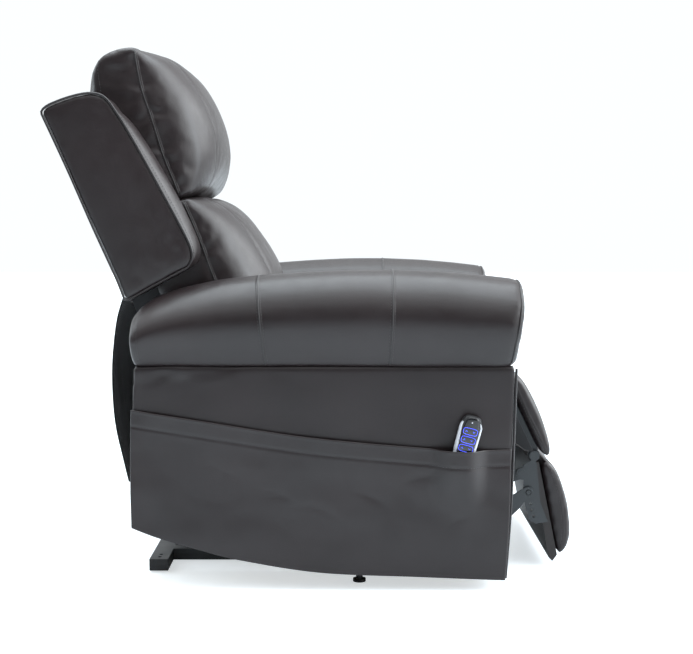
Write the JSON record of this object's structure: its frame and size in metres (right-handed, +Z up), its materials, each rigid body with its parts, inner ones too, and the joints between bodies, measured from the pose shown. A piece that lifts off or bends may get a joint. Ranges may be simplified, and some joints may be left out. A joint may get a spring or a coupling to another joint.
{
  "type": "lift recliner chair",
  "caption": "Powered lift recliner armchair in dark leather, with a tilting lift base, reclining back, rising footrest and a handset in a side pocket.",
  "frame": {"origin": "on the floor, below the middle of the chair as a whole", "axes": "+Z up, -Y the way the chair faces, +X to the sitter's left"},
  "size_m": [0.9202, 1.1105, 1.1193],
  "materials": {
    "brown_leather": "semi-gloss, padded and stitched",
    "black_cloth": "plain weave lining",
    "black_steel": "satin powder coat",
    "zinc_steel": "zinc plated",
    "spring_steel": "oiled wire",
    "frame_wood": "sawn",
    "dark_board": "dark stained board",
    "black_plastic": "moulded, fine texture",
    "cable_rubber": "matt",
    "silver_plastic": "silver",
    "gloss_black": "high gloss",
    "key_plastic": "gloss with a lit ring"
  },
  "bodies": {
    "base": {"base_crossbars": "black_steel", "base_side_rails": "black_steel", "base_motor_crossmember": "black_steel", "base_end_caps": "black_plastic", "base_glides": "black_plastic", "base_pivot_brackets": "black_steel", "base_pivot_pins": "zinc_steel", "power_cable": "cable_rubber"},
    "front_lift_link": {"front_lift_links": "black_steel"},
    "rear_lift_link": {"rear_lift_links": "black_steel"},
    "chair": {"lift_frame_plates": "black_steel", "chair_pivot_pins": "zinc_steel", "chassis_cross_tubes": "black_steel", "mechanism_side_plates": "black_steel", "seat_frame": "frame_wood", "seat_springs": "spring_steel", "seat_cushion": "brown_leather", "side_panels": "brown_leather", "arm_inner_panels": "brown_leather", "arm_front_panels": "brown_leather", "arm_frames": "frame_wood", "arm_rolls": "brown_leather", "side_pockets": "brown_leather", "arm_glides": "black_plastic", "lower_back_cloth": "black_cloth", "footrest_rail": "zinc_steel", "footrest_motor": "black_plastic", "control_box": "black_plastic"},
    "lift_motor": {"lift_actuator_housing": "black_plastic"},
    "lift_rod": {"lift_actuator_rod": "zinc_steel"},
    "back": {"back_frame": "frame_wood", "back_brackets": "black_steel", "back_springs": "spring_steel", "outside_back_panel": "brown_leather", "back_wings": "brown_leather", "head_cushion": "brown_leather", "lumbar_cushion": "brown_leather", "upper_back_cloth": "black_cloth"},
    "back_motor": {"back_actuator_housing": "black_plastic"},
    "back_rod": {"back_actuator_rod": "zinc_steel"},
    "drive_slider": {"footrest_slider": "black_plastic"},
    "drive_link": {"push_link": "black_steel"},
    "rear_arm": {"torque_tube": "black_steel", "rear_footrest_arms": "black_steel"},
    "front_arm": {"front_footrest_arms": "black_steel"},
    "upper_link": {"upper_long_links": "black_steel"},
    "lower_link": {"lower_long_links": "black_steel"},
    "ottoman": {"ottoman_brackets": "black_steel", "ottoman_rivets": "black_steel", "ottoman_board": "dark_board", "ottoman_cushion": "brown_leather"},
    "calf_rest": {"calf_hinge_plates": "black_steel", "calf_board": "dark_board", "calf_cushion": "brown_leather"},
    "handset": {"handset_shell": "silver_plastic", "handset_face": "gloss_black"},
    "key_1": {"key_row_1": "key_plastic"},
    "key_2": {"key_row_2": "key_plastic"},
    "key_3": {"key_row_3": "key_plastic"},
    "key_4": {"key_row_4": "key_plastic"}
  },
  "joints": [
    {"name": "lift", "type": "hinge", "parent": "base", "child": "rear_lift_link", "pos_m": [0, -0.1455, 0.085], "axis": [1, 0, 0], "range_deg": [0, 44.42]},
    {"name": "chair_on_rear_link", "type": "hinge", "parent": "rear_lift_link", "child": "chair", "pos_m": [0, 0.3545, 0.09], "axis": [1, 0, 0], "range_deg": [-20.72, 0.3]},
    {"name": "front_link_pivot", "type": "hinge", "parent": "base", "child": "front_lift_link", "pos_m": [0, -0.2225, 0.067], "axis": [1, 0, 0], "range_deg": [-0.3, 54.8]},
    {"name": "lift_motor_pivot", "type": "hinge", "parent": "base", "child": "lift_motor", "pos_m": [0, -0.1655, 0.064], "axis": [1, 0, 0], "range_deg": [-0.3, 37.84]},
    {"name": "lift_rod_slide", "type": "slide", "parent": "lift_motor", "child": "lift_rod", "axis": [0, 0.4912, 0.8711], "range_m": [-0.0005, 0.14492]},
    {"name": "recline", "type": "hinge", "parent": "chair", "child": "back", "pos_m": [0, 0.2795, 0.375], "axis": [-1, 0, 0], "range_deg": [0, 38]},
    {"name": "back_motor_pivot", "type": "hinge", "parent": "chair", "child": "back_motor", "pos_m": [0.11, 0.0945, 0.33], "axis": [-1, 0, 0], "range_deg": [-0.3, 7.99]},
    {"name": "back_rod_slide", "type": "slide", "parent": "back_motor", "child": "back_rod", "axis": [0, 0.9999, 0.0165], "range_m": [-0.03485, 0.0005]},
    {"name": "footrest", "type": "hinge", "parent": "chair", "child": "rear_arm", "pos_m": [0, -0.2122, 0.322], "axis": [-1, 0, 0], "range_deg": [-6.3, 70.5]},
    {"name": "front_arm_pivot", "type": "hinge", "parent": "chair", "child": "front_arm", "pos_m": [0, -0.2634, 0.2908], "axis": [-1, 0, 0], "range_deg": [-6.47, 69.4]},
    {"name": "upper_link_pivot", "type": "hinge", "parent": "rear_arm", "child": "upper_link", "pos_m": [0, -0.2297, 0.1385], "axis": [-1, 0, 0], "range_deg": [-66.27, 6.2]},
    {"name": "lower_link_pivot", "type": "hinge", "parent": "rear_arm", "child": "lower_link", "pos_m": [0, -0.2455, 0.096], "axis": [-1, 0, 0], "range_deg": [-66.04, 6.17]},
    {"name": "ottoman_pivot", "type": "hinge", "parent": "upper_link", "child": "ottoman", "pos_m": [0, -0.4465, 0.206], "axis": [-1, 0, 0], "range_deg": [-6.86, 73.76]},
    {"name": "calf_rest_hinge", "type": "hinge", "parent": "chair", "child": "calf_rest", "pos_m": [0, -0.3955, 0.402], "axis": [-1, 0, 0], "range_deg": [-5.78, 61.6]},
    {"name": "drive_slide", "type": "slide", "parent": "chair", "child": "drive_slider", "axis": [0, -0.9063, -0.4226], "range_m": [-0.0037, 0.03628]},
    {"name": "drive_link_pivot", "type": "hinge", "parent": "drive_slider", "child": "drive_link", "pos_m": [-0.11, -0.1655, 0.26], "axis": [-1, 0, 0], "range_deg": [-4.11, 42.9]},
    {"name": "handset_slide", "type": "slide", "parent": "chair", "child": "handset", "axis": [0, -0.2588, 0.9659], "range_m": [0, 0.066]},
    {"name": "key_rocker_1", "type": "hinge", "parent": "handset", "child": "key_1", "pos_m": [-0.4435, -0.31264, 0.33256], "axis": [0, -0.2588, 0.9659], "range_deg": [-3, 3]},
    {"name": "key_rocker_2", "type": "hinge", "parent": "handset", "child": "key_2", "pos_m": [-0.4435, -0.30811, 0.31566], "axis": [0, -0.2588, 0.9659], "range_deg": [-3, 3]},
    {"name": "key_rocker_3", "type": "hinge", "parent": "handset", "child": "key_3", "pos_m": [-0.4435, -0.30358, 0.29875], "axis": [0, -0.2588, 0.9659], "range_deg": [-3, 3]},
    {"name": "key_rocker_4", "type": "hinge", "parent": "handset", "child": "key_4", "pos_m": [-0.4435, -0.29905, 0.28185], "axis": [0, -0.2588, 0.9659], "range_deg": [-3, 3]}
  ],
  "couplings": [
    {"joint": "chair_on_rear_link", "follows": "lift", "ratio": -0.45969},
    {"joint": "front_link_pivot", "follows": "lift", "ratio": 1.2268},
    {"joint": "lift_motor_pivot", "follows": "lift", "ratio": 0.84515},
    {"joint": "lift_rod_slide", "follows": "lift", "m_per_rad": 0.18628},
    {"joint": "back_motor_pivot", "follows": "recline", "ratio": 0.20226},
    {"joint": "back_rod_slide", "follows": "recline", "m_per_rad": -0.05179},
    {"joint": "front_arm_pivot", "follows": "footrest", "ratio": 0.9801},
    {"joint": "upper_link_pivot", "follows": "footrest", "ratio": -0.9358},
    {"joint": "lower_link_pivot", "follows": "footrest", "ratio": -0.9325},
    {"joint": "ottoman_pivot", "follows": "footrest", "ratio": 1.042},
    {"joint": "calf_rest_hinge", "follows": "footrest", "ratio": 0.8695},
    {"joint": "drive_slide", "follows": "footrest", "m_per_rad": 0.02908},
    {"joint": "drive_link_pivot", "follows": "footrest", "ratio": 0.6043}
  ]
}
